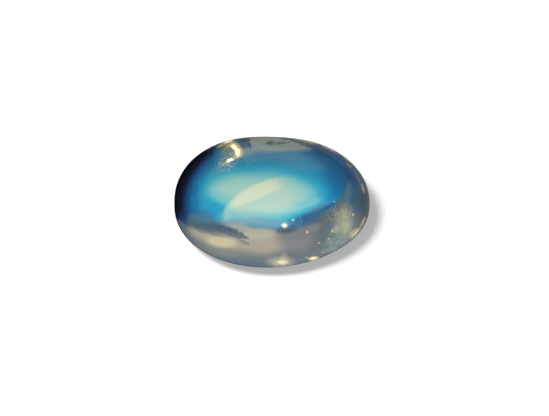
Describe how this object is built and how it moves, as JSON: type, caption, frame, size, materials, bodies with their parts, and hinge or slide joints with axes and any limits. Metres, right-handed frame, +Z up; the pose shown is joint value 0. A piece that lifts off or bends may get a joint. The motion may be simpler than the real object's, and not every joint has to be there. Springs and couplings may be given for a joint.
{
  "type": "moonstone cabochon",
  "caption": "Oval moonstone cabochon: one polished gem with a high smooth dome, a soft girdle and a shallow bellied back ending in a small flat spot that it rests on.",
  "frame": {"origin": "middle of the small flat spot on the back, on the surface that the stone rests on", "axes": "+Z up through the top of the dome, +X along the stone's length, +Y across its width, away from the picture's viewer"},
  "size_m": [0.014, 0.0102, 0.0062],
  "materials": {
    "moonstone": "polished"
  },
  "bodies": {
    "root": {"moonstone": "moonstone"}
  },
  "joints": []
}
